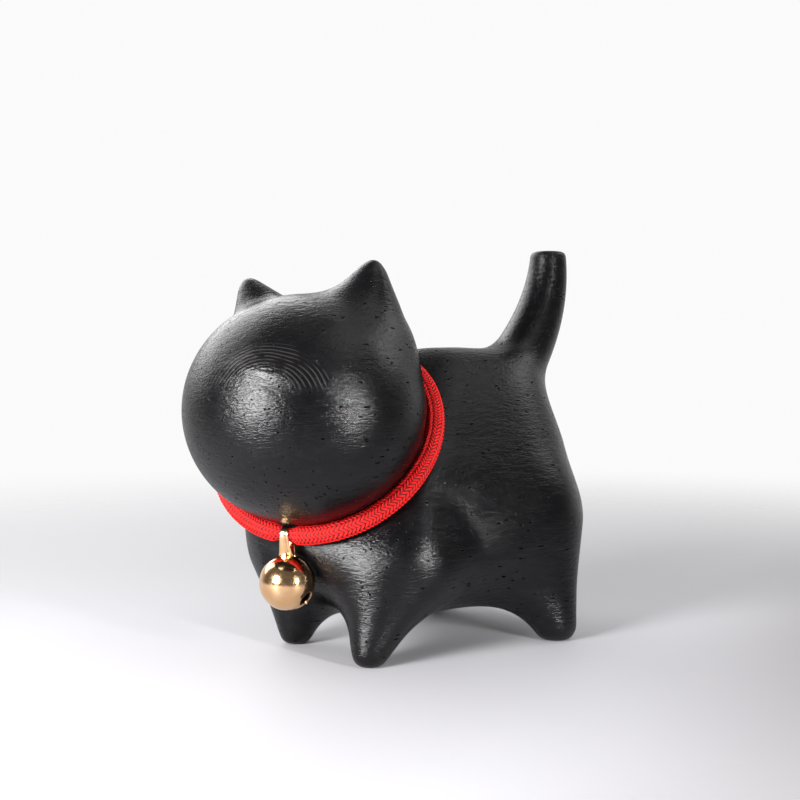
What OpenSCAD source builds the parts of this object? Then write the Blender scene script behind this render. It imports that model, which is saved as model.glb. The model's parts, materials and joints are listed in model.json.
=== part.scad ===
// Cat figurine carved from one block of wood, standing on four legs, with a round
// elastic cord collar and a jingle bell. Millimetres, +Z up, the cat faces -Y and its
// left side is +X. The origin is on the floor, at the middle of the footprint box.

/* [Head] */
// Half width, half depth and half height of the head
head_r = [17.7, 17.3, 16.7]; // [14:0.1:20]
// Height of the head's centre above the floor
head_z = 36.3; // [35:0.1:38]
// How far the head is turned to the cat's left, in degrees
head_turn = 24; // [18:1:30]
// How far the head leans to the cat's right, in degrees
head_roll = 2.5; // [0:0.5:5]

/* [Ears] */
// Radius of the left ear where it leaves the head
left_ear_r = 8.6; // [7.5:0.1:9]
// Radius of the right ear where it leaves the head
right_ear_r = 8; // [7.5:0.1:9]
// Radius of an ear's rounded tip
ear_tip_r = 1.3; // [1:0.05:2]
// Height of the left ear tip's centre above the head's centre
left_ear_z = 19.7; // [18:0.1:21]
// Height of the right ear tip's centre above the head's centre
right_ear_z = 18.9; // [18:0.1:21]

/* [Body] */
// Half width and half length of the hips
hip_r = [15.6, 20.2]; // [15:0.1:21]
// Height of the hips above their widest level
hip_top = 24.3; // [22:0.1:26]
// Depth of the hips below their widest level
hip_low = 16; // [14:0.1:17]
// Half width, half length and half height of the withers
shoulder_r = [14.5, 17, 17.2]; // [13:0.1:19]
// Half width, half length and half height of the chest
chest_r = [16.6, 11.6, 13]; // [11:0.1:17]
// Half width, half length and half height of the flanks
flank_r = [17.7, 16, 13.8]; // [12:0.1:19]
// Radius of the barrel of the body
barrel_r = 15.2; // [14:0.1:16]
// Radius of the neck behind the cord
neck_r = 16; // [15.6:0.1:16.6]
// Height of the underside of the belly above the floor
belly_clearance = 5.8; // [4.6:0.1:7]

/* [Legs] */
// Distance between the front feet, centre to centre
front_track = 18.3; // [17:0.1:20]
// Distance between the hind feet, centre to centre
hind_track = 30.2; // [28:0.1:31]
// Distance from the front feet to the hind feet, centre to centre
wheelbase = 33.3; // [32:0.1:35]

/* [Tail] */
// Height of the flat cut at the tail's tip
tail_top = 62.6; // [58:0.1:66]
// Radius of the tail at its base
tail_base_r = 5.2; // [4:0.1:6]
// Radius of the tail near its tip
tail_tip_r = 3; // [2.4:0.1:3.3]
// How far the tail leans back from its base to its tip
tail_lean = 12; // [8:0.5:14]

/* [Collar] */
// Thickness of the elastic cord
cord_d = 2.8; // [2.4:0.1:3]
// Radius of the collar, measured to the middle of the cord
collar_r = 17; // [16.8:0.1:17.4]
// Angle of the collar's plane above the floor, in degrees
collar_tilt = 52.5; // [50:0.5:55]
// Wall of the braided sleeve
cover_wall = 0.4; // [0.3:0.05:0.5]
// Radius of one rubber strand
strand_r = 0.29; // [0.2:0.01:0.3]
// Gap between the cord and the wood
cord_gap = 0.12; // [0.1:0.01:0.2]

/* [Bell] */
// Outer diameter of the bell
bell_d = 8; // [7.4:0.1:8.2]
// Thickness of the bell's sheet brass
shell_t = 0.35; // [0.3:0.05:0.45]
// Width of the slot
slot_w = 0.8; // [0.6:0.05:1]
// Diameter of the round holes at the slot's ends
slot_end_d = 2.2; // [1.8:0.1:2.2]
// Width of the strip that hangs the bell on the cord
strip_w = 1.9; // [1.5:0.1:2.2]
// Thickness of that strip
strip_t = 0.4; // [0.3:0.05:0.5]
// Diameter of the rattling ball
pellet_d = 2.4; // [2.3:0.1:2.6]

/* [Hidden] */

wood = [0.09, 0.085, 0.09];
cord_red = [0.85, 0.06, 0.05];
rubber = [0.78, 0.7, 0.55];
brass = [0.83, 0.66, 0.38];
steel = [0.6, 0.6, 0.62];

// From the middle of the front feet to the middle of the footprint box
origin_shift = [1.784, -14.371, 0];
head_centre = [0, -4.2, head_z];
hip_centre = [0, 26.5, 21.5];
shoulder_centre = [0, 9, 28];
chest_centre = [-5, 7.4, 18.5];
flank_centre = [0.25, 11.5, 20];
barrel_front = [0.6, 9, 22.5];
barrel_back = [0, 26, 21.5];
neck_depth = 3.5;
neck_end = [0, 24, 26];
neck_end_r = 14.6;
belly_r = [12.5, 20, 9.7];
belly_centre = [0, 22, belly_clearance + belly_r[2]];

// The tail's centre line is an arc that stands up straight at its tip
tail_steps = 6;
tail_low = 40;
tail_high = tail_top + 3;
tail_tip_y = 47.3;
function tail_at(t) = [
    0, tail_tip_y - tail_lean * pow(1 - t, 2), tail_low + (tail_high - tail_low) * t
];
function tail_r(t) = tail_base_r + (tail_tip_r - tail_base_r) * t;

// The collar's plane, seen from the head: offset, and a small extra turn of the cord
collar_offset = [-1, 7.6, -4.4];
collar_skew = 8;
splice_angle = 16;
splice_r = cord_d / 2 + 0.25;
collar_travel = 12;

// The bell hangs from the cord a little to one side of its lowest point
bell_angle = -8.5;
bell_drop = 6.9;
loop_r = cord_d / 2 + 0.2;
bell_travel = 10;
throat_gap = 0.4;
eps = 0.02;

function rot_z(v, a) = [
    v[0] * cos(a) - v[1] * sin(a), v[0] * sin(a) + v[1] * cos(a), v[2]
];
function rot_y(v, a) = [
    v[0] * cos(a) + v[2] * sin(a), v[1], -v[0] * sin(a) + v[2] * cos(a)
];
function rot_x(v, a) = [
    v[0], v[1] * cos(a) - v[2] * sin(a), v[1] * sin(a) + v[2] * cos(a)
];
// A point given from the head's centre, in the head's own directions
function in_head(v) = head_centre + rot_z(rot_y(v, -head_roll), head_turn);
// A point given from the collar's centre, with Z along the neck
function in_collar(v) = in_head(
    collar_offset + rot_z(rot_x(v, collar_tilt), collar_skew)
);
// The cord's centre where the bell hangs, and the bell's centre below it
hang_point = in_collar([collar_r * sin(bell_angle), -collar_r * cos(bell_angle), 0]);
bell_centre = hang_point - [0, 0, bell_drop];
// The bell's centre after the collar has turned by an angle about the neck
collar_centre = in_collar([0, 0, 0]);
collar_frame = [for (v = [[1, 0, 0], [0, 1, 0], [0, 0, 1]]) in_collar(v) - collar_centre];
bell_local = [for (v = collar_frame) v * (bell_centre - collar_centre)];
function bell_at(a) = in_collar(rot_z(bell_local, a));
bell_turn = head_turn + collar_skew;

module ball(c, r) {
    translate(c) sphere(r);
}

module round_cone(a, b, ra, rb) {
    hull() {
        ball(a, ra);
        ball(b, rb);
    }
}

module egg(c, r) {
    translate(c) scale(r) sphere(1);
}

// An egg whose upper and lower halves have their own heights
module pear(c, r, top, low) {
    translate(c) scale([r[0], r[1], 1]) rotate_extrude() {
        intersection() {
            scale([1, top]) circle(1);
            square([1, top]);
        }
        intersection() {
            scale([1, low]) circle(1);
            translate([0, -low]) square([1, low]);
        }
    }
}

// Turns a shape drawn round the collar's centre into place on the neck
module on_collar() {
    translate(head_centre)
        rotate([0, 0, head_turn]) rotate([0, -head_roll, 0])
            translate(collar_offset)
                rotate([0, 0, collar_skew]) rotate([collar_tilt, 0, 0])
                    children();
}

module torus(big_r, small_r) {
    rotate_extrude() translate([big_r, 0]) circle(small_r);
}

module head() {
    translate(head_centre) rotate([0, 0, head_turn]) rotate([0, -head_roll, 0]) {
        egg([0, 0, 0], head_r, $fn = 56);
        round_cone([6.4, 4, 8.2], [10.2, 3.4, left_ear_z], left_ear_r, ear_tip_r, $fn = 28);
        round_cone([-6.6, 4, 8], [-10.9, 3.4, right_ear_z], right_ear_r, ear_tip_r, $fn = 28);
    }
}

module legs() {
    for (side = [-1, 1]) {
        front_x = side * front_track / 2;
        hind_x = side * hind_track / 2;
        shoulder = side > 0 ? [6.4, 6, 14.5] : [-10.2, 1.8, 14.5];
        round_cone([front_x, 0.3, 2], shoulder, 2.35, 7.2, $fn = 28);
        round_cone([front_x, 1.5, 3], [side * 9.8, 8, 14], 1.6, 6, $fn = 20);
        round_cone([hind_x, wheelbase, 2.4], [side * 9.9, 32.4, 18], 2.9, 7.5, $fn = 28);
        round_cone([hind_x * 0.96, 31.5, 3], [side * 9.8, 26, 15], 2, 6, $fn = 20);
    }
}

module tail() {
    difference() {
        for (i = [0:tail_steps - 1])
            round_cone(tail_at(i / tail_steps), tail_at((i + 1) / tail_steps),
                tail_r(i / tail_steps), tail_r((i + 1) / tail_steps), $fn = 20);
        translate([-10, tail_tip_y - 10, tail_top]) cube([20, 20, 20]);
    }
}

module torso() {
    pear(hip_centre, hip_r, hip_top, hip_low, $fn = 52);
    egg(shoulder_centre, shoulder_r, $fn = 40);
    egg(chest_centre, chest_r, $fn = 40);
    egg(flank_centre, flank_r, $fn = 40);
    egg(belly_centre, belly_r, $fn = 36);
    round_cone(barrel_front, barrel_back, barrel_r, barrel_r - 0.8, $fn = 40);
    round_cone(in_collar([0, 0, -neck_depth]), neck_end, neck_r, neck_end_r, $fn = 40);
}

module carved_cat() {
    color(wood) translate(origin_shift) difference() {
        union() {
            difference() {
                union() {
                    torso();
                    legs();
                    tail();
                }
                // The flat of the neck, which the cord lies on
                on_collar() translate([-40, -40, -cord_d / 2]) cube([80, 80, 60]);
            }
            head();
        }
        // The groove that the cord lies in, wider where the splice and the loop travel
        on_collar() {
            torus(collar_r, cord_d / 2 + cord_gap, $fn = 64);
            rotate([0, 0, 90 - collar_travel - splice_angle])
                rotate_extrude(angle = 2 * (collar_travel + splice_angle), $fn = 64)
                    translate([collar_r, 0]) circle(splice_r + cord_gap, $fn = 24);
            rotate([0, 0, bell_angle - 90 - collar_travel - bell_travel])
                rotate_extrude(angle = 2 * (collar_travel + bell_travel), $fn = 64)
                    translate([collar_r, 0]) circle(loop_r + strip_t + cord_gap, $fn = 24);
        }
        // The throat is hollowed where the bell hangs and travels
        hull() for (a = [1, -collar_travel])
            ball(bell_at(a), bell_d / 2 + throat_gap, $fn = 32);
        // The floor cuts the feet flat
        translate([-40, -40, -20]) cube([80, 120, 20]);
    }
}

module collar_cover() {
    color(cord_red) translate(origin_shift) on_collar() difference() {
        torus(collar_r, cord_d / 2, $fn = 96);
        torus(collar_r, cord_d / 2 - cover_wall, $fn = 96);
    }
}

module collar_strands() {
    ring = 2 * strand_r + eps;
    color(rubber) translate(origin_shift) on_collar() {
        torus(collar_r, strand_r, $fn = 48);
        for (i = [0:5])
            rotate_extrude($fn = 48)
                translate([collar_r + ring * cos(60 * i), ring * sin(60 * i)])
                    circle(strand_r, $fn = 24);
    }
}

module collar_splice() {
    color(cord_red) translate(origin_shift) on_collar()
        rotate([0, 0, 90 - splice_angle / 2])
            rotate_extrude(angle = splice_angle, $fn = 96) translate([collar_r, 0])
                difference() {
                    circle(splice_r, $fn = 48);
                    circle(cord_d / 2 + eps, $fn = 48);
                }
}

// Places a shape drawn round the bell's centre, with X along the cord
module on_bell() {
    translate(origin_shift + bell_centre) rotate([0, 0, bell_turn]) children();
}

module bell_shell() {
    outer = bell_d / 2;
    slot_reach = 58;
    color(brass) on_bell() difference() {
        sphere(outer, $fn = 72);
        sphere(outer - shell_t, $fn = 72);
        // The slot runs under the bell along the cord's direction
        for (a = [-slot_reach, slot_reach])
            rotate([0, a, 0]) translate([0, 0, -outer - 1])
                cylinder(h = outer, d = slot_end_d, $fn = 32);
        translate([-outer, -slot_w / 2, -outer - 1])
            cube([2 * outer, slot_w, outer + 1 - outer * cos(slot_reach)]);
        // The opening at the top for the strip's two legs
        translate([-strip_w / 2 - eps, -strip_t - 0.1, outer - 1])
            cube([strip_w + 2 * eps, 2 * strip_t + 0.2, 2]);
    }
}

// The strip's two legs, which meet and go down into the bell, and their bent-out ends
module strip_legs(leg_low, outer_r) {
    neck_z = bell_drop - 0.6 * outer_r;
    half = sqrt(outer_r * outer_r - pow(0.6 * outer_r, 2));
    for (side = [0, 1]) mirror([0, side, 0]) {
        rotate([90, 0, 90]) linear_extrude(strip_w)
            polygon([
                [eps, leg_low], [strip_t, leg_low], [strip_t, bell_d / 2 + 0.1],
                [half, neck_z + eps], [half - strip_t, neck_z + strip_t],
                [eps, bell_d / 2 + 0.3]
            ]);
        translate([0, eps, leg_low]) cube([strip_w, 1.3, strip_t]);
    }
}

module bell_loop() {
    leg_low = bell_d / 2 - shell_t - 0.85;
    outer_r = loop_r + strip_t;
    color(brass) on_bell() translate([-strip_w / 2, 0, 0]) difference() {
        union() {
            strip_legs(leg_low, outer_r);
            // The strip's bend round the cord
            translate([0, 0, bell_drop]) rotate([0, 90, 0]) difference() {
                cylinder(h = strip_w, r = outer_r, $fn = 64);
                translate([0.6 * outer_r, -outer_r, -1])
                    cube([outer_r, 2 * outer_r, strip_w + 2]);
            }
        }
        translate([-1, 0, bell_drop]) rotate([0, 90, 0])
            cylinder(h = strip_w + 2, r = loop_r, $fn = 64);
    }
}

module bell_pellet() {
    rest = bell_d / 2 - shell_t - pellet_d / 2 - 0.12;
    color(steel) on_bell() translate([0, 0, -rest]) sphere(d = pellet_d, $fn = 48);
}

carved_cat();
collar_cover();
collar_strands();
collar_splice();
bell_shell();
bell_loop();
bell_pellet();
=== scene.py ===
"""Looks of a cat figurine carved from one block of dark wood, with a braided elastic
cord collar and a polished brass jingle bell. Lengths are in millimetres in the part's
own frame and become metres as each mesh is made."""
import json
import math
from types import SimpleNamespace

import bpy
import numpy as np
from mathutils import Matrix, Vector

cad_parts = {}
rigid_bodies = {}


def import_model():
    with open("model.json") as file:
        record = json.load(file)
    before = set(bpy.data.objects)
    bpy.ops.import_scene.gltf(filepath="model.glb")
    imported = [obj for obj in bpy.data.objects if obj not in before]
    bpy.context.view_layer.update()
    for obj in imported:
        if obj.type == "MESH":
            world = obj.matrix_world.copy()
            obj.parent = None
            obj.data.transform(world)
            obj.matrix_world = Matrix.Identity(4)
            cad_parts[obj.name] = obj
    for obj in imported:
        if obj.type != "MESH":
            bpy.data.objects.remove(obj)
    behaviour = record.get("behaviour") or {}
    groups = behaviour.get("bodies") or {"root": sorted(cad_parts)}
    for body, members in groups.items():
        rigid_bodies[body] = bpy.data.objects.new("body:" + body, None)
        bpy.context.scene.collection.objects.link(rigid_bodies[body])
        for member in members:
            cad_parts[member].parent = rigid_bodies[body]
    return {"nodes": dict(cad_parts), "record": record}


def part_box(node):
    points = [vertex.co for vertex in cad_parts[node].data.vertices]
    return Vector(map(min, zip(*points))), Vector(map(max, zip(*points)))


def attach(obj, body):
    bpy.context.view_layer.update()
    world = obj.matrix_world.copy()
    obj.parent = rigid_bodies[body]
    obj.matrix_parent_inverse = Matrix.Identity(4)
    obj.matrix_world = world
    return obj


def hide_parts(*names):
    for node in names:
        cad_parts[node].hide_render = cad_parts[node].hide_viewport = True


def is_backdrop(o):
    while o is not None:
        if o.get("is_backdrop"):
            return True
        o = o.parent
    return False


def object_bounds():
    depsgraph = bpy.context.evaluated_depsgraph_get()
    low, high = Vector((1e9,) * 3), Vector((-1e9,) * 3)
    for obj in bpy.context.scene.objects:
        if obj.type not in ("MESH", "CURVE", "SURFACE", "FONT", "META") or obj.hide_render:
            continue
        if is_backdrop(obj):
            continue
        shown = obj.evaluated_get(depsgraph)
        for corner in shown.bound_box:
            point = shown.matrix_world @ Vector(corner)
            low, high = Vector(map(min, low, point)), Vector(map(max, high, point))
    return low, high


MM = 0.001
RNG = np.random.default_rng(7)

for leftover in list(bpy.data.objects):
    bpy.data.objects.remove(leftover)
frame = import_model()
cad_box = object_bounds()
joints = {j["name"]: j for j in frame["record"]["behaviour"]["joints"]}


# ---------------------------------------------------------------- camera
def direction(azimuth, elevation):
    """Unit vector from the object towards a place seen at that azimuth and elevation."""
    a, e = math.radians(azimuth), math.radians(elevation)
    return Vector((math.sin(a) * math.cos(e), -math.cos(a) * math.cos(e), math.sin(e)))


CAMERA_AZIMUTH = 50.0
CAMERA_PITCH = 1.377
CAMERA_PLACE = Vector((135.08, -112.47, 41.6))
CAMERA_LENS = 50.54

camera = bpy.data.objects.new("camera", bpy.data.cameras.new("camera"))
bpy.context.scene.collection.objects.link(camera)
camera.data.lens = CAMERA_LENS
camera.data.sensor_width = 36.0
camera.data.clip_start = 0.01
camera.location = CAMERA_PLACE * MM
camera.rotation_euler = direction(CAMERA_AZIMUTH, CAMERA_PITCH).to_track_quat("Z", "Y").to_euler()
bpy.context.scene.camera = camera
bpy.context.scene.view_settings.view_transform = "Standard"


# ---------------------------------------------------------------- mesh helpers
def mesh_object(name, points, quads, material, caps=(), normals=None):
    """Object from points in millimetres, with smooth quads and flat caps of any outline."""
    mesh = bpy.data.meshes.new(name)
    mesh.from_pydata((points * MM).tolist(), [], quads.tolist() + list(caps))
    mesh.polygons.foreach_set("use_smooth", [True] * len(quads) + [False] * len(caps))
    if normals is not None:
        mesh.normals_split_custom_set_from_vertices(normals.tolist())
    mesh.materials.append(material)
    obj = bpy.data.objects.new(name, mesh)
    bpy.context.scene.collection.objects.link(obj)
    return obj


def vector_attribute(obj, name, values):
    """Stores one vector per point, for a material to read."""
    attribute = obj.data.attributes.new(name, "FLOAT_VECTOR", "POINT")
    attribute.data.foreach_set("vector", np.asarray(values, np.float32).ravel())


def grid_faces(rows, columns, wrap_rows=True):
    """Quads over points stored row by row, where each row is a closed ring."""
    i, j = np.meshgrid(
        np.arange(rows if wrap_rows else rows - 1), np.arange(columns), indexing="ij")
    i2, j2 = (i + 1) % rows, (j + 1) % columns
    quads = np.stack([i * columns + j, i2 * columns + j, i2 * columns + j2, i * columns + j2], -1)
    return quads.reshape(-1, 4)


def gradient(field, points, h=0.03):
    """Direction in which the field grows, by central differences."""
    g = np.zeros_like(points)
    for axis in range(3):
        step = np.zeros(3)
        step[axis] = h
        g[:, axis] = (field(points + step) - field(points - step)) / (2 * h)
    return g


def sampled(field, low, high, step):
    """The field's values on a grid of points. The grid is filled in blocks, and a block
    that the surface stays clear of gets one value."""
    block, reach, blocks_at_once = 8, 1.2, 200
    blocks = [int(math.ceil((high[a] - low[a]) / (step * block))) for a in range(3)]
    corner = np.stack(np.meshgrid(*map(np.arange, blocks), indexing="ij"), -1)
    corner = corner.reshape(-1, 3) * block
    middle = field(low + (corner + (block - 1) / 2) * step)
    cell = np.stack(np.meshgrid(*[np.arange(block)] * 3, indexing="ij"), -1)
    d = np.repeat(middle, block ** 3).reshape(-1, block, block, block)
    near = np.abs(middle) < step * block * reach
    for chunk in np.array_split(np.flatnonzero(near), max(1, near.sum() // blocks_at_once)):
        d[chunk] = field(low + (corner[chunk][:, None, None, None] + cell) * step)
    d = d.reshape(*blocks, block, block, block).transpose(0, 3, 1, 4, 2, 5)
    return d.reshape([n * block for n in blocks])


def surface(field, low, high, step):
    """Points, quads and normals of the surface where field is 0, by surface nets: one
    point in each cell that the surface crosses, and one quad over each crossed edge."""
    low = np.array(low, float)
    d = sampled(field, low, high, step)
    shape, inside = d.shape, d < 0
    corners = [(a, b, c) for a in (0, 1) for b in (0, 1) for c in (0, 1)]

    def at(array, corner):
        return array[tuple(slice(o, n - 1 + o) for o, n in zip(corner, shape))]

    count = sum(at(inside, c).astype(np.int8) for c in corners)
    cells = np.argwhere((count > 0) & (count < 8))
    index = np.full([n - 1 for n in shape], -1, np.int64)
    index[tuple(cells.T)] = np.arange(len(cells))
    total = np.zeros((len(cells), 3))
    crossings = np.zeros(len(cells))
    for a in corners:
        for axis in range(3):
            if a[axis]:
                continue
            b = tuple(o + (k == axis) for k, o in enumerate(a))
            da, db = d[tuple((cells + a).T)], d[tuple((cells + b).T)]
            cross = (da < 0) != (db < 0)
            t = np.where(cross, da / np.where(cross, da - db, 1), 0)
            place = np.array(a, float) + t[:, None] * np.eye(3)[axis]
            total += place * cross[:, None]
            crossings += cross
    points = low + (cells + total / crossings[:, None]) * step
    quads = []
    for axis in range(3):
        u, v = (axis + 1) % 3, (axis + 2) % 3
        here = tuple(slice(0, n - 1) if k == axis else slice(1, n - 1) for k, n in enumerate(shape))
        there = tuple(slice(1, n) if k == axis else slice(1, n - 1) for k, n in enumerate(shape))
        change = inside[here] != inside[there]
        edges = np.argwhere(change)
        edges[:, u] += 1
        edges[:, v] += 1
        du, dv = np.eye(3, dtype=int)[u], np.eye(3, dtype=int)[v]
        ring = [index[tuple((edges - s).T)] for s in (du + dv, dv, 0 * du, du)]
        quad = np.stack(ring, -1)
        flip = ~inside[tuple(edges.T)]
        quad[flip] = quad[flip][:, ::-1]
        quads.append(quad)
    most = 0.3 * step
    for _ in range(3):
        g = gradient(field, points)
        steepness = np.maximum((g * g).sum(1, keepdims=True), 0.2)
        points -= np.clip(field(points)[:, None] * g / steepness, -most, most)
    normals = gradient(field, points)
    normals /= np.maximum(np.linalg.norm(normals, axis=1, keepdims=True), 1e-9)
    return points, np.concatenate(quads), normals


def tube(path, radius, sides):
    """Points and quads of a round tube along a path, with ends that taper to a tiny ring."""
    tangent = np.gradient(path, axis=0)
    tangent /= np.linalg.norm(tangent, axis=1, keepdims=True)
    normal = np.cross(tangent[0], [0.3, 0.5, 0.8])
    rings = []
    radii = np.full(len(path), radius)
    radii[[0, -1]] *= 0.05
    radii[[1, -2]] *= 0.75
    a = np.linspace(0, 2 * math.pi, sides, endpoint=False)[:, None]
    for p, t, r in zip(path, tangent, radii):
        normal = normal - t * normal.dot(t)
        normal /= np.linalg.norm(normal)
        side = np.cross(t, normal)
        rings.append(p + r * (np.cos(a) * normal + np.sin(a) * side))
    return np.concatenate(rings), grid_faces(len(path), sides, wrap_rows=False)


# ---------------------------------------------------------------- distance fields
def smooth_min(a, b, k):
    """The two shapes joined, with a fillet that is about k wide."""
    h = np.maximum(k - np.abs(a - b), 0) / k
    return np.minimum(a, b) - h * h * k * 0.25


def smooth_max(a, b, k):
    """What the two shapes share, with a rounded edge that is about k wide."""
    return -smooth_min(-a, -b, k)


def egg(p, centre, radii):
    """Distance to an egg with these half sizes, nearly right close to its surface."""
    q = p - np.array(centre)
    near = np.linalg.norm(q / radii, axis=-1)
    far = np.linalg.norm(q / np.square(radii), axis=-1)
    return near * (near - 1) / np.maximum(far, 1e-9)


def round_cone(p, a, b, ra, rb):
    """Distance to a rod that is ra thick (radius) at a and rb at b, with round ends."""
    a, b = np.array(a, float), np.array(b, float)
    axis = b - a
    length2 = axis.dot(axis)
    taper = ra - rb
    slant2 = length2 - taper * taper
    q = p - a
    along = q @ axis
    z = along - length2
    side = ((q * length2 - along[..., None] * axis) ** 2).sum(-1)
    z_low, z_high = along * along * length2, z * z * length2
    k = np.sign(taper) * taper * taper * side
    end_a = np.sqrt(side + z_low) / length2 - ra
    end_b = np.sqrt(side + z_high) / length2 - rb
    wall = (np.sqrt(side * slant2 / length2) + along * taper) / length2 - ra
    d = np.where(np.sign(along) * slant2 * z_low < k, end_a, wall)
    return np.where(np.sign(z) * slant2 * z_high > k, end_b, d)


def turn(axis, degrees):
    """Matrix of a turn about one of the frame's axes."""
    a = math.radians(degrees)
    c, s = math.cos(a), math.sin(a)
    return {
        "x": np.array([[1, 0, 0], [0, c, -s], [0, s, c]]),
        "y": np.array([[c, 0, s], [0, 1, 0], [-s, 0, c]]),
        "z": np.array([[c, -s, 0], [s, c, 0], [0, 0, 1]]),
    }[axis]


# Sizes and places, most of them the CAD's own. The chest, the belly, the flat of the neck,
# the tail's curve and the strip differ a little from the CAD's. The wood's parts are blended
# with fillets here, and only joined in the CAD, so its surface differs by up to 3.7 mm.
ORIGIN_SHIFT = np.array([1.784, -14.371, 0])
HEAD_CENTRE = np.array([0, -4.2, 36.3]) + ORIGIN_SHIFT
HEAD_RADII = (17.7, 17.3, 16.7)
HEAD_TO_FRAME = turn("z", 24) @ turn("y", -2.5)
CORD_R = 1.4
RING_R = 17.0
COLLAR_TO_FRAME = HEAD_TO_FRAME @ turn("z", 8) @ turn("x", 52.5)
COLLAR_CENTRE = HEAD_CENTRE + HEAD_TO_FRAME @ np.array([-1.0, 7.6, -4.4])
NECK_AXIS = COLLAR_TO_FRAME[:, 2]
HIPS = (0, 26.5, 21.5)
HIP_LOW_RADII = (15.6, 20.2, 16.0)
HIP_TOP_RADII = (15.6, 20.2, 24.3)
WITHERS, WITHERS_RADII = (0, 9, 28), (14.5, 17, 17.2)
FLANKS, FLANK_RADII = (0.25, 11.5, 20), (17.7, 16, 13.8)
CHEST, CHEST_RADII = (-5, 7.7, 20.7), (15.7, 11.6, 13)
BELLY, BELLY_RADII = (0, 22, 15.6), (12.5, 20, 9.7)
NECK_FLAT = 1.2
TAIL_TOP = 62.6
TAIL_TIP_Y = 47.3
TAIL_TIP_R = 3.05
TAIL_TAPER = 0.1
TAIL_CURVE = 0.0237
TAIL_ROOT = 38
BELL_CENTRE = np.array(joints["pellet_roll"]["pos_m"]) / MM
HANG_POINT = np.array(joints["bell_swing"]["pos_m"]) / MM
# Turn of the bell from the frame's axes, so that its x runs along the cord
BELL_TURN = 32.0
BELL_R = 4.0
SHELL_T = 0.35
SLOT_END_R = 1.1
# Turn of the slot from where the CAD has it
SLOT_TURN = -12
STRIP_T = 0.28
BELL_DROP = HANG_POINT[2] - BELL_CENTRE[2]
HANG_LOCAL = (HANG_POINT - COLLAR_CENTRE) @ COLLAR_TO_FRAME
HANG_ANGLE = math.atan2(HANG_LOCAL[1], HANG_LOCAL[0])
# How thick the cord stays where the strip squeezes it
PINCH = 0.70


def ring_distance(p):
    """Distance to the cord's surface."""
    q = (p - COLLAR_CENTRE) @ COLLAR_TO_FRAME
    return np.hypot(np.hypot(q[..., 0], q[..., 1]) - RING_R, q[..., 2]) - CORD_R


def head_field(p):
    """The ball of the head, with an ear on each side. Each ear is a cone with a root."""
    q = (p - HEAD_CENTRE) @ HEAD_TO_FRAME
    left = round_cone(q, (6.4, 4.0, 8.2), (10.2, 3.4, 19.75), 8.6, 1.3)
    left = smooth_min(left, round_cone(q, (8.0, 3.8, 13.2), (9.8, 3.5, 18.2), 5.2, 2.3), 1.0)
    m = q * (-1, 1, 1)
    right = round_cone(m, (6.6, 4.0, 8.0), (10.9, 3.4, 18.9), 8.0, 1.25)
    right = smooth_min(right, round_cone(m, (8.0, 3.8, 13.0), (10.5, 3.5, 17.6), 4.6, 2.0), 1.0)
    d = smooth_min(egg(q, (0, 0, 0), HEAD_RADII), left, 3.0)
    return smooth_min(d, right, 2.4)


def torso_field(p, neck, height):
    """Hips, withers, barrel, flanks and neck, sloping back from the collar."""
    d = np.where(p[..., 2] < HIPS[2], egg(p, HIPS, HIP_LOW_RADII), egg(p, HIPS, HIP_TOP_RADII))
    d = smooth_min(d, egg(p, WITHERS, WITHERS_RADII), 8.0)
    d = smooth_min(d, round_cone(p, (0.6, 9, 22.5), (0, 26, 21.5), 15.2, 14.4), 5.0)
    d = smooth_min(d, egg(p, FLANKS, FLANK_RADII), 6.0)
    d = smooth_min(d, round_cone(p, neck - 3.5 * NECK_AXIS, (0, 24, 26), 16, 14.6), 6.0)
    q = (p - neck) @ COLLAR_TO_FRAME
    out = np.hypot(q[..., 0], np.minimum(q[..., 1], 0))
    slope = math.radians(38)
    slant = (height + NECK_FLAT) * math.cos(slope) + (out - 15.8) * math.sin(slope)
    return smooth_max(d, slant, 5.0)


def legs_field(p, side):
    """The front leg and the hind leg of one side: 1 is the left, and -1 the right."""
    m = p * (side, 1, 1)
    shoulder = (6.4, 6, 14.5) if side > 0 else (10.2, 1.8, 14.5)
    front = round_cone(m, (9.15, 0.3, 2), shoulder, 2.35, 7.2)
    front = smooth_min(front, round_cone(m, (9.15, 1.5, 3), (9.8, 8, 14), 1.6, 6), 3.0)
    hind = round_cone(m, (15.1, 33.3, 2.4), (9.9, 32.4, 18), 2.9, 7.5)
    hind = smooth_min(hind, round_cone(m, (14.5, 31.5, 3), (9.8, 26, 15), 2, 6), 3.0)
    return front, hind


def tail_field(p):
    """An arc that stands up straight at its tip, cut off flat."""
    up = TAIL_TOP - 0.6 - p[..., 2]
    lean = TAIL_TIP_Y - TAIL_CURVE * up * up
    across = (p[..., 1] - lean) / np.sqrt(1 + (2 * TAIL_CURVE * up) ** 2)
    d = (np.hypot(p[..., 0], across) - TAIL_TIP_R - TAIL_TAPER * up) * 0.95
    d = smooth_max(d, p[..., 2] - TAIL_TOP, 1.0)
    return np.maximum(d, TAIL_ROOT - p[..., 2])


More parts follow.
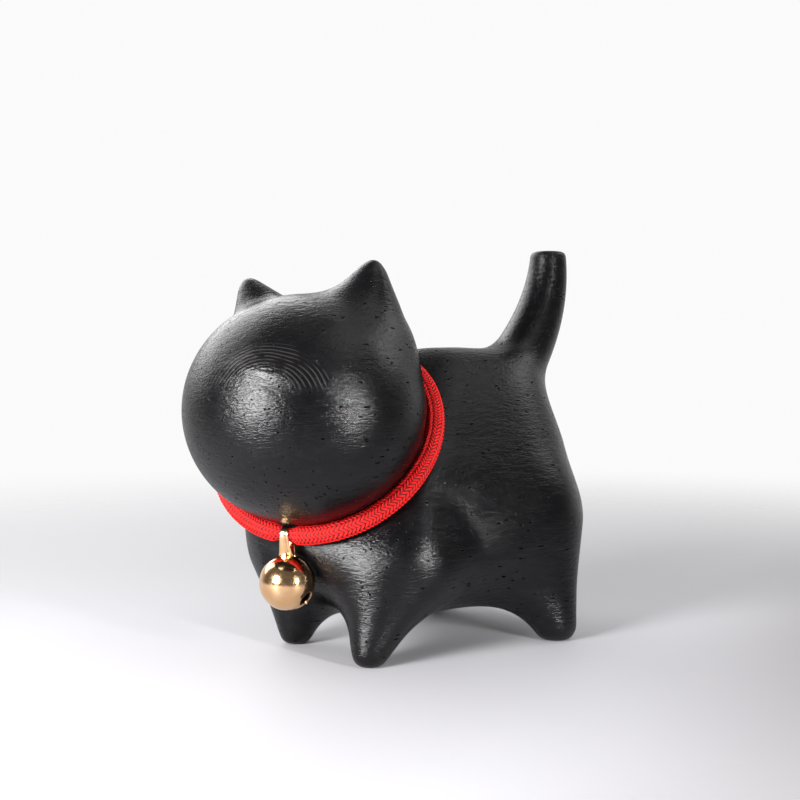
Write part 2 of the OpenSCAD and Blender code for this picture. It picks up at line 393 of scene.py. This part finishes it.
def cat_field(p):
    """The whole carving, with the hollow at the throat and the groove under the cord."""
    local = p - ORIGIN_SHIFT
    neck = COLLAR_CENTRE - ORIGIN_SHIFT
    height = (local - neck) @ NECK_AXIS
    body = torso_field(local, neck, height)
    body = smooth_min(body, egg(local, CHEST, CHEST_RADII), 6.0)
    body = smooth_min(body, egg(local, BELLY, BELLY_RADII), 5.0)
    for side in (1, -1):
        front, hind = legs_field(local, side)
        body = smooth_min(smooth_min(body, front, 5.0), hind, 7.0)
    body = smooth_min(body, tail_field(local), 6.0)
    body = smooth_max(body, height + NECK_FLAT, 3.0)
    throat_r = BELL_R + 0.42
    throat_end = BELL_CENTRE + (-4.25, -1.9, 0.65)
    throat = round_cone(p, BELL_CENTRE, throat_end, throat_r, throat_r + 0.001)
    body = smooth_max(body, -throat, 0.8)
    d = smooth_min(head_field(p), body, 1.5)
    # The groove is wider at the nape, where the whipping makes the cord thicker
    nape = np.clip(((p - COLLAR_CENTRE) @ COLLAR_TO_FRAME[:, 1] - 13) / 1.5, 0, 1)
    clearance = 0.12 + 0.3 * nape
    d = smooth_max(d, clearance - ring_distance(p), 0.3)
    return smooth_max(d, -p[..., 2], 0.5)


# ---------------------------------------------------------------- material helpers
def node_kit(tree):
    """Short functions that add nodes to a tree. Each returns an output to link onwards, and
    takes plain values or other nodes' outputs."""
    def feed(socket, value):
        if isinstance(value, bpy.types.NodeSocket):
            tree.links.new(value, socket)
        else:
            socket.default_value = value

    def add(kind, *values, out=0, inputs=None, **settings):
        """Adds a node, and feeds its inputs in order or by name."""
        node = tree.nodes.new("ShaderNode" + kind)
        for key, value in settings.items():
            setattr(node, key, value)
        for key, value in [*enumerate(values), *(inputs or {}).items()]:
            feed(node.inputs[key], value)
        return node.outputs[out]

    def maths(operation, *values):
        return add("Math", *values, operation=operation)

    def times(first, *others):
        for other in others:
            first = maths("MULTIPLY", first, other)
        return first

    def noise(vector, scale, detail=3.0, roughness=0.55):
        return add("TexNoise", inputs={
            "Vector": vector, "Scale": scale, "Detail": detail, "Roughness": roughness})

    def cells(vector, scale):
        """Distance to the nearest of many points strewn at random."""
        return add("TexVoronoi", inputs={"Vector": vector, "Scale": scale, "Randomness": 1.0})

    def ramp(value, low, high, to_low=0.0, to_high=1.0):
        """Smooth step from one value to another as the input goes from low to high."""
        return add("MapRange", value, low, high, to_low, to_high, interpolation_type="SMOOTHSTEP")

    def stretch(vector, factors):
        return add("VectorMath", vector, factors, operation="MULTIPLY")

    def mix(factor, a, b):
        """Blend of two colours, which sit on inputs 6 and 7 of the Mix node."""
        return add("Mix", out=2, data_type="RGBA", inputs={0: factor, 6: a, 7: b})

    def relief(*layers):
        """Height in millimetres: a sum of patterns, each with its own depth."""
        height = 0.0
        for pattern, depth in layers:
            height = maths("ADD", times(pattern, depth), height)
        return height

    def bump(height, strength=1.0):
        """Normal from a height in millimetres."""
        return add("Bump", inputs={"Height": height, "Distance": MM, "Strength": strength})

    return SimpleNamespace(
        feed=feed, add=add, maths=maths, times=times, noise=noise, cells=cells, ramp=ramp,
        stretch=stretch, mix=mix, relief=relief, bump=bump)


def new_material(name):
    """A new material's kit: the node functions, mm for a place on the object in
    millimetres, and finish to feed the Principled surface by its inputs' names."""
    material = bpy.data.materials.new(name)
    material.use_nodes = True
    kit = node_kit(material.node_tree)
    shader = material.node_tree.nodes["Principled BSDF"]

    def finish(**sockets):
        for key, value in sockets.items():
            kit.feed(shader.inputs[key.replace("_", " ")], value)
        return material

    kit.finish = finish
    kit.mm = kit.stretch(kit.add("TexCoord", out=3), (1 / MM,) * 3)
    return kit


def rgba(r, g, b):
    return (r, g, b, 1.0)


def wood_material():
    """Near-black close-grained wood, sanded and waxed: pores along the grain, growth rings
    round a knot on the face, and the fine ripple that the tool leaves."""
    kit = new_material("ebony wood")
    maths, times, ramp, noise, stretch = kit.maths, kit.times, kit.ramp, kit.noise, kit.stretch
    grain = stretch(kit.mm, (1.0, 0.16, 1.0))
    cloud = noise(kit.mm, 0.09, 3)
    streak = noise(grain, 0.9, 5, 0.6)

    # Growth rings round a line that comes out on the face, and the lip above it
    offset = kit.add("VectorMath", kit.mm, HEART_PLACE, operation="SUBTRACT")
    side = kit.add("VectorMath", offset, HEART_SIDE, operation="DOT_PRODUCT", out=1)
    rise = kit.add("VectorMath", offset, HEART_RISE, operation="DOT_PRODUCT", out=1)
    wobble = times(maths("SUBTRACT", noise(kit.mm, 0.16, 1), 0.5), 1.1)
    flat = kit.add("CombineXYZ", times(side, 0.8), rise, 0.0)
    radius = maths("ADD", kit.add("VectorMath", flat, operation="LENGTH", out=1), wobble)
    jitter = times(noise(kit.mm, 1.3, 2), 0.05)
    wave = maths("SINE", times(maths("ADD", radius, jitter), 2 * math.pi / RING_SPACING))
    reach = times(ramp(radius, 2.2, 3.6), ramp(radius, 5.6, 8.6, 1.0, 0.0))
    face = ramp(kit.add("SeparateXYZ", kit.mm, out=1), -22, -14, 1.0, 0.0)
    patchy = ramp(noise(kit.mm, 0.3, 2), 0.32, 0.52, 0.25, 1.0)
    rings = times(wave, reach, ramp(rise, -0.4, 2.2), face, patchy)
    tilted = maths("ADD", rise, times(side, 0.16))
    lip = times(ramp(tilted, 1.0, 3.0), ramp(radius, 3.4, 7.5, 1.0, 0.0), face)

    # Pores: short dark dashes along the grain, in drifts, and round pits between them
    dash = kit.cells(stretch(kit.mm, (1.5, 0.34, 1.5)), 1.0)
    drift = noise(kit.mm, 0.5, 2)
    pit = kit.cells(kit.mm, 0.95)
    pores = times(ramp(dash, 0.13, 0.24, 1.0, 0.0), ramp(drift, 0.46, 0.58))
    pits = times(ramp(pit, 0.06, 0.11, 1.0, 0.0), ramp(drift, 0.33, 0.43, 1.0, 0.0))
    holes = maths("MAXIMUM", pores, pits)
    fine = noise(stretch(kit.mm, (6.0, 0.9, 6.0)), 1.0, 4, 0.65)

    # Tool ripple, grit, and light dust in a few pores
    ripple = noise(stretch(kit.mm, (0.7, 0.5, 1.9)), 1.0, 3, 0.55)
    grit = noise(stretch(kit.mm, (0.6, 0.5, 1.6)), 3.2, 3, 0.6)
    speck = kit.cells(kit.mm, 0.3)
    dust = times(ramp(speck, 0.012, 0.022, 1.0, 0.0), ramp(fine, 0.48, 0.55))

    black, charcoal = rgba(0.0018, 0.0018, 0.0022), rgba(0.004, 0.0038, 0.0042)
    colour = kit.mix(ramp(cloud, 0.35, 0.7), black, charcoal)
    colour = kit.mix(ramp(streak, 0.45, 0.75, 0.0, 0.6), colour, rgba(0.0072, 0.0068, 0.0068))
    colour = kit.mix(times(ramp(rings, 0.25, 0.95), 0.4), colour, rgba(0.05, 0.046, 0.044))
    colour = kit.mix(holes, colour, rgba(0.0008, 0.0008, 0.0008))
    colour = kit.mix(dust, colour, rgba(0.25, 0.245, 0.24))
    rough = ramp(noise(grain, 0.35, 4), 0.3, 0.7, 0.16, 0.22)
    rough = maths("ADD", rough, times(holes, 0.3))
    height = kit.relief((ripple, 0.085), (grit, 0.07), (fine, 0.02), (rings, 0.008),
                        (lip, 0.40), (holes, -0.035))

    # The gloss is damped at the rims, and there is none in the pores
    edge = ramp(kit.add("LayerWeight", 0.5, out=1), 0.38, 0.97, 0.5, 0.02)
    return kit.finish(
        Base_Color=colour, Roughness=rough, Normal=kit.bump(height), IOR=1.32,
        Specular_IOR_Level=times(edge, maths("SUBTRACT", 1.0, holes)))


def cord_material(name, base):
    """Braided textile: yarn fibres run with the stitches, and shade is painted into the gaps."""
    kit = new_material(name)
    braid = kit.add("Attribute", attribute_name="braid", out=1)
    fibres = kit.noise(kit.stretch(braid, (5.0, 0.8, 1.0)), 1.6, 4, 0.65)
    fuzz = kit.noise(kit.mm, 9.0, 3, 0.7)
    depth = kit.add("SeparateXYZ", braid, out=2)
    # Painted shade: the colour darkens where the braid's height is low, in the gaps between
    # stitches.
    painted_gap_shade = kit.ramp(depth, 0.25, 0.95)
    painted_shade_colour = rgba(base[0] * 0.12, base[1] * 0.1, base[2] * 0.1)
    light = rgba(min(base[0] * 1.25, 1), base[1] * 3.0 + 0.012, base[2] * 3.0 + 0.012)
    colour = kit.mix(painted_gap_shade, painted_shade_colour, rgba(*base))
    colour = kit.mix(kit.times(kit.ramp(fibres, 0.5, 0.75), 0.4), colour, light)
    height = kit.relief((fibres, 0.035), (fuzz, 0.02))
    return kit.finish(
        Base_Color=colour, Roughness=kit.ramp(fibres, 0.3, 0.7, 0.75, 0.6),
        Specular_IOR_Level=0.25, Normal=kit.bump(height), Sheen_Weight=0.08,
        Sheen_Roughness=0.5, Sheen_Tint=rgba(0.9, 0.1, 0.1))


def brass_material():
    """Polished, lightly lacquered brass with handling scratches and faint clouding."""
    kit = new_material("polished brass")
    cloud = kit.noise(kit.mm, 0.5, 3)
    scratch = kit.noise(kit.stretch(kit.mm, (1.2, 1.2, 14.0)), 1.0, 4, 0.6)
    wear = kit.noise(kit.mm, 2.5, 4, 0.65)
    colour = kit.mix(kit.ramp(cloud, 0.35, 0.7), rgba(0.73, 0.45, 0.23), rgba(0.80, 0.53, 0.30))
    colour = kit.mix(kit.ramp(wear, 0.6, 0.75, 0.0, 0.35), colour, rgba(0.55, 0.33, 0.14))
    rough = kit.ramp(wear, 0.35, 0.75, 0.11, 0.22)
    height = kit.relief((scratch, 0.006), (cloud, 0.03))
    return kit.finish(
        Base_Color=colour, Metallic=1.0, Roughness=rough, Normal=kit.bump(height, 0.6))


def steel_material():
    """Tumbled steel shot: grey, a little pitted."""
    kit = new_material("tumbled steel")
    pits = kit.noise(kit.mm, 5.0, 4, 0.7)
    cloud = kit.noise(kit.mm, 1.2, 2)
    colour = kit.mix(kit.ramp(cloud, 0.3, 0.7), rgba(0.42, 0.42, 0.43), rgba(0.62, 0.62, 0.62))
    return kit.finish(
        Base_Color=colour, Metallic=1.0, Roughness=kit.ramp(pits, 0.3, 0.7, 0.22, 0.42),
        Normal=kit.bump(kit.relief((pits, 0.03))))


def rubber_material():
    """Cut rubber strands: pale, chalky, with fine lines along them."""
    kit = new_material("rubber strand")
    lines = kit.noise(kit.mm, 4.0, 4, 0.7)
    colour = kit.mix(kit.ramp(lines, 0.3, 0.7), rgba(0.62, 0.55, 0.4), rgba(0.78, 0.71, 0.56))
    return kit.finish(
        Base_Color=colour, Roughness=kit.ramp(lines, 0.3, 0.7, 0.55, 0.75),
        Normal=kit.bump(kit.relief((lines, 0.04))))


# Where the growth rings' centre line leaves the face, and the directions across it
HEART_PLACE = Vector(np.array([10.0, -18.1, 38.9]) + ORIGIN_SHIFT)
HEART_SIDE = (0.95, 0.30, 0.0)
HEART_RISE = (-0.06, 0.19, 0.98)
RING_SPACING = 0.46

wood = wood_material()
red_cord = cord_material("red braided cord", (0.82, 0.006, 0.005))
red_thread = cord_material("red whipping thread", (0.72, 0.008, 0.011))
brass = brass_material()
steel = steel_material()
rubber = rubber_material()


# ---------------------------------------------------------------- the carved cat
def build_cat():
    """The wooden body, within the box of the CAD's cat and a little room round it."""
    low, high = (np.array(c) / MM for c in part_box("carved_cat"))
    points, quads, _ = surface(cat_field, low - 1.1, high + 1.1, 0.42)
    cat = mesh_object("wood_cat", points, quads, wood)
    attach(cat, "cat")
    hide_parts("carved_cat")


# ---------------------------------------------------------------- the collar
def on_ring(angle, radius, height):
    """Point on the collar: angle round the neck, distance from its axis, height along it."""
    local = np.stack([radius * np.cos(angle), radius * np.sin(angle), height], -1)
    return COLLAR_CENTRE + local @ COLLAR_TO_FRAME.T


def on_cord(angle, r, round_cord):
    """Point beside the collar's centre line: r from it, at an angle round the cord."""
    return on_ring(angle, RING_R + r * np.cos(round_cord), r * np.sin(round_cord))


def off_strip(angle):
    """0 where the bell's strip pinches the cord, and up to 1 in the 4 degrees beside it."""
    away = np.mod(np.degrees(angle - HANG_ANGLE) + 180, 360) - 180
    return np.clip((np.abs(away) - 3.1) / 4.0, 0, 1)


def turns_grid(along, around):
    """Parts of a turn round the neck and round the cord, for a grid of points."""
    return np.meshgrid(np.arange(along) / along, np.arange(around) / around, indexing="ij")


def build_cover():
    """The sleeve: a herringbone braid, with a plain inner wall round the strands."""
    columns, stitches = 12, 190
    gap_depth, stitch_height, unevenness = 0.24, 0.26, 0.01
    neck_turns, cord_turns = turns_grid(stitches * 6, columns * 7)

    # Each stitch slants one way in one column and the other way in the next
    column_at = cord_turns * columns
    zigzag = np.abs(np.mod(column_at, 2) - 1) - 0.5
    drift = sum(size * np.sin(2 * math.pi * (waves * neck_turns + phase))
                for waves, size, phase in ((3, 0.5, 0.1), (11, 0.25, 0.6), (29, 0.12, 0.3)))
    stitch_at = neck_turns * stitches + 1.15 * zigzag + drift
    ridge = np.abs(np.sin(math.pi * stitch_at)) ** 1.3
    crown = 1 - np.abs(2 * np.mod(column_at, 1) - 1) ** 3
    height = ridge * (0.45 + 0.55 * crown)
    uneven = RNG.normal(0, 1, (stitches, columns))[
        np.mod(np.floor(stitch_at).astype(int), stitches),
        np.floor(column_at).astype(int) % columns]
    r = CORD_R - gap_depth + (stitch_height + unevenness * uneven) * height
    a, b = 2 * math.pi * neck_turns, 2 * math.pi * cord_turns
    free = off_strip(a)
    r *= PINCH + (1 - PINCH) * free * free * (3 - 2 * free)
    outer = on_cord(a, r, b).reshape(-1, 3)
    # The third value is the stitch's height, which the cord's material reads to paint shade into
    # the gaps.
    braid = np.stack([stitch_at, column_at, height], -1).reshape(-1, 3)

    inner_steps = (160, 16)
    inner_a, inner_b = (2 * math.pi * turns for turns in turns_grid(*inner_steps))
    inner_r = 0.925 + 0.075 * off_strip(inner_a)
    inner = on_cord(inner_a, inner_r, inner_b).reshape(-1, 3)
    quads = np.concatenate([grid_faces(*a.shape)[:, ::-1],
                            grid_faces(*inner_steps) + len(outer)])
    cover = mesh_object("braided_cover", np.concatenate([outer, inner]), quads, red_cord)
    # The inner wall's height is 0, so it is painted fully in shade.
    vector_attribute(cover, "braid", np.concatenate([braid, np.zeros_like(inner)]))
    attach(cover, "collar")
    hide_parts("collar_cover")


def build_splice():
    """Whipping over the joint in the cord: thread wound round it, side by side."""
    thread_r, sides = 0.125, 8
    half_angle = math.radians(8.0)
    turns = int(2 * half_angle * RING_R / (2.05 * thread_r))
    t = np.linspace(0, 1, turns * 30)
    nape = math.pi / 2
    angle = nape - half_angle + 2 * half_angle * t
    path = on_cord(angle, CORD_R + thread_r, 2 * math.pi * turns * t)
    points, quads = tube(path, thread_r, sides)
    splice = mesh_object("thread_whipping", points, quads, red_thread)
    across = np.tile(np.linspace(0, 2, sides, endpoint=False), len(path))
    along = np.repeat(t * turns * 6, sides)
    # The third value is a fixed height, which sets how much painted shade the thread gets.
    vector_attribute(splice, "braid", np.stack([across, along, np.full_like(along, 0.8)], -1))
    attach(splice, "collar")
    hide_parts("collar_splice")


# ---------------------------------------------------------------- the bell
BELL_TO_FRAME = turn("z", BELL_TURN)


def on_bell(points):
    """Places the bell's own points: x along the cord, z up, from the shell's centre."""
    return BELL_CENTRE + np.asarray(points) @ BELL_TO_FRAME.T


def shell_field(p):
    """Hollow ball with a slot under it, round slot ends and an opening for the strip."""
    reach = math.radians(58)
    wall = np.abs(np.linalg.norm(p, axis=-1) - (BELL_R - SHELL_T / 2)) - SHELL_T / 2
    opening = np.maximum(np.abs(p[..., 0]) - 1.2, np.abs(p[..., 1]) - 0.58)
    opening = np.maximum(opening, 2 - p[..., 2])
    p = p @ turn("z", SLOT_TURN)
    slot = smooth_max(np.abs(p[..., 1]) - 0.4, p[..., 2] + BELL_R * math.cos(reach), 0.1)
    for side in (-1, 1):
        end = np.array([side * math.sin(reach), 0, -math.cos(reach)])
        off = np.linalg.norm(p - (p @ end)[..., None] * end, axis=-1)
        hole = np.maximum(off - SLOT_END_R, -(p @ end))
        slot = smooth_min(slot, hole, 0.25)
    wall = smooth_max(wall, -slot, 0.12)
    return smooth_max(wall, -opening, 0.08)


def build_shell():
    """The shell, with its normals from the field, so that the polish has no facets."""
    room = BELL_R + 0.25
    points, quads, normals = surface(shell_field, (-room,) * 3, (room,) * 3, 0.085)
    shell = mesh_object("brass_shell", on_bell(points), quads, brass,
                        normals=normals @ BELL_TO_FRAME.T)
    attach(shell, "bell")
    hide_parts("bell_shell")


def strip_path(bend_r, top):
    """Side view of the strip's middle: a foot inside the shell, up through the top of the
    shell, round the cord and down to the other foot."""
    low = BELL_R - SHELL_T - 0.45
    start = np.array([0.34, low + 0.3])
    centre = np.array([0.0, top])
    away = start - centre
    tilt = math.atan2(away[0], -away[1]) + math.acos(bend_r / np.linalg.norm(away))
    arc = np.linspace(tilt - math.pi / 2, math.pi / 2, 26)
    bend = centre + bend_r * np.stack([np.cos(arc), np.sin(arc)], -1)
    foot = np.array([(1.25, low - 0.02), (0.85, low), (0.5, low + 0.06), start])
    leg = start + np.outer((0.06, 0.12, 0.3, 0.6), bend[0] - start)
    right = np.concatenate([foot, leg, bend])
    path = np.concatenate([right, (right * (-1, 1))[-2::-1]])
    for _ in range(2):
        # Each corner is cut at a quarter of the sides that meet there
        fine = np.repeat(path, 2, 0)
        fine[1:-1:2] = 0.75 * path[:-1] + 0.25 * path[1:]
        fine[2:-1:2] = 0.25 * path[:-1] + 0.75 * path[1:]
        path = fine
    return path


def strip_section(steps):
    """The strip's cross-section: places across it, from 1 to -1 and back, and how far each
    stands out from its middle. A pressed groove runs along the outer face."""
    outer = np.linspace(1, -1, steps)
    across = np.concatenate([outer, outer[-2:0:-1]])
    side = np.where(np.arange(len(across)) < steps, 1, -1)
    out = side * STRIP_T / 2 * np.sqrt(1 - np.abs(across) ** 7)
    groove = 0.16 * np.exp(-((across - 0.28) / 0.13) ** 2) * (out > 0)
    return across, out - groove


def build_loop():
    """The strip that goes round the cord. It widens towards the shell."""
    bend_r = CORD_R * PINCH + 0.08 + STRIP_T / 2
    top = BELL_DROP - 0.04
    path = strip_path(bend_r, top)
    tangent = np.gradient(path, axis=0)
    tangent /= np.linalg.norm(tangent, axis=1, keepdims=True)
    rise = np.clip((path[:, 1] - BELL_R) / (top + bend_r - BELL_R), 0, 1)
    half_width = 1.12 - 0.57 * rise ** 0.7
    across, out = strip_section(27)
    rings = [
        np.stack([across * half, y + along_z * out, z - along_y * out], -1)
        for (y, z), (along_y, along_z), half in zip(path, tangent, half_width)]
    points, sides = np.concatenate(rings), len(across)
    quads = grid_faces(len(path), sides, wrap_rows=False)
    last = len(points) - 1
    caps = [list(range(sides)), list(range(last, last - sides, -1))]
    loop = mesh_object("bell_strip", on_bell(points), quads, brass, caps)
    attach(loop, "bell")
    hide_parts("bell_loop")


def build_pellet():
    """The steel ball, with shallow dents all over."""
    low, high = (np.array(c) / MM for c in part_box("bell_pellet"))
    centre, radius = (low + high) / 2, (high - low).mean() / 2

    def field(p):
        x, y, z = np.moveaxis(p, -1, 0)
        dents = 0.012 * np.abs(np.sin(7 * x + 1) * np.sin(6 * y) * np.sin(8 * z + 2))
        return np.linalg.norm(p, axis=-1) - radius + dents

    room = radius + 0.2
    points, quads, _ = surface(field, (-room,) * 3, (room,) * 3, 0.1)
    pellet = mesh_object("steel_pellet", points + centre, quads, steel)
    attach(pellet, "pellet")
    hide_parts("bell_pellet")


build_cat()
build_cover()
build_splice()
build_shell()
build_loop()
build_pellet()
strands = frame["nodes"]["collar_strands"]
strands.data.materials.clear()
strands.data.materials.append(rubber)


# ---------------------------------------------------------------- stage and light
def floor_material():
    """Matt paper, painted darker to the camera's right as shade, that fades out far from the
    object.
    """
    kit = new_material("pale floor")
    cloud = kit.noise(kit.mm, 0.01, 2)
    colour = kit.mix(cloud, rgba(0.405, 0.40, 0.42), rgba(0.43, 0.425, 0.445))
    # Painted shade: the paper's colour darkens towards the camera's right, for the light's falloff
    # there.
    right = kit.add("VectorMath", kit.mm, (0.75, 0.3, 0), operation="DOT_PRODUCT", out=1)
    colour = kit.mix(kit.ramp(right, 25, 62), colour, rgba(0.22, 0.21, 0.22))
    fade = kit.ramp(kit.add("VectorMath", kit.mm, operation="LENGTH", out=1), 40, 330, 1.0, 0.0)
    return kit.finish(Base_Color=colour, Roughness=0.6, Specular_IOR_Level=0.2, Alpha=fade)


def build_stage():
    """A round sheet of paper under the object."""
    sides, radii = 96, (60.0, 150.0, 300.0, 430.0)
    a = np.linspace(0, 2 * math.pi, sides, endpoint=False)
    points = np.concatenate([
        np.stack([r * np.cos(a), r * np.sin(a), np.zeros(sides)], -1) for r in radii])
    quads = grid_faces(len(radii), sides, wrap_rows=False)
    floor = mesh_object("floor", points, quads, floor_material(), [list(range(sides))])
    floor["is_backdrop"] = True


def build_world():
    """White surroundings, dimmer on the side that the camera stands on."""
    dim, bright = 0.15, 0.96
    world = bpy.data.worlds.new("studio")
    world.use_nodes = True
    kit = node_kit(world.node_tree)
    background = world.node_tree.nodes["Background"].inputs
    ahead = kit.add("VectorMath", kit.add("TexCoord"), -direction(CAMERA_AZIMUTH, 0),
                    operation="DOT_PRODUCT", out=1)
    kit.feed(background["Strength"], kit.ramp(ahead, 0.05, 0.82, dim, bright))
    kit.feed(background["Color"], rgba(1, 1, 1))
    bpy.context.scene.world = world


def area_light(name, azimuth, elevation, distance, width, height, power, aim=(0, 0, 0.03)):
    """A softbox that looks at aim from a distance. Lengths are in metres, power in watts."""
    data = bpy.data.lights.new(name, "AREA")
    data.shape = "RECTANGLE"
    data.size, data.size_y = width, height
    data.energy = power
    light = bpy.data.objects.new(name, data)
    light.location = Vector(aim) + direction(azimuth, elevation) * distance
    light.rotation_euler = (light.location - Vector(aim)).to_track_quat("Z", "Y").to_euler()
    bpy.context.scene.collection.objects.link(light)


build_stage()
build_world()
# The left and right softboxes make the two highlights on the face
area_light("left softbox", 8, 11, 0.20, 0.078, 0.070, 1.45, aim=(-0.001, -0.034, 0.040))
area_light("right softbox", 97, 3, 0.15, 0.009, 0.046, 0.32, aim=(0.014, -0.024, 0.038))
area_light("far softbox", 272, 34, 0.40, 0.44, 0.28, 1.4)
area_light("top softbox", 115, 60, 0.30, 0.20, 0.14, 0.13, aim=(0, 0.01, 0.04))
area_light("back softbox", 160, 40, 0.30, 0.12, 0.10, 0.11, aim=(0, 0.01, 0.04))

boxes = {"cad_box": cad_box, "visual_box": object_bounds()}
{k: [[float(c) for c in corner] for corner in v] for k, v in boxes.items()}
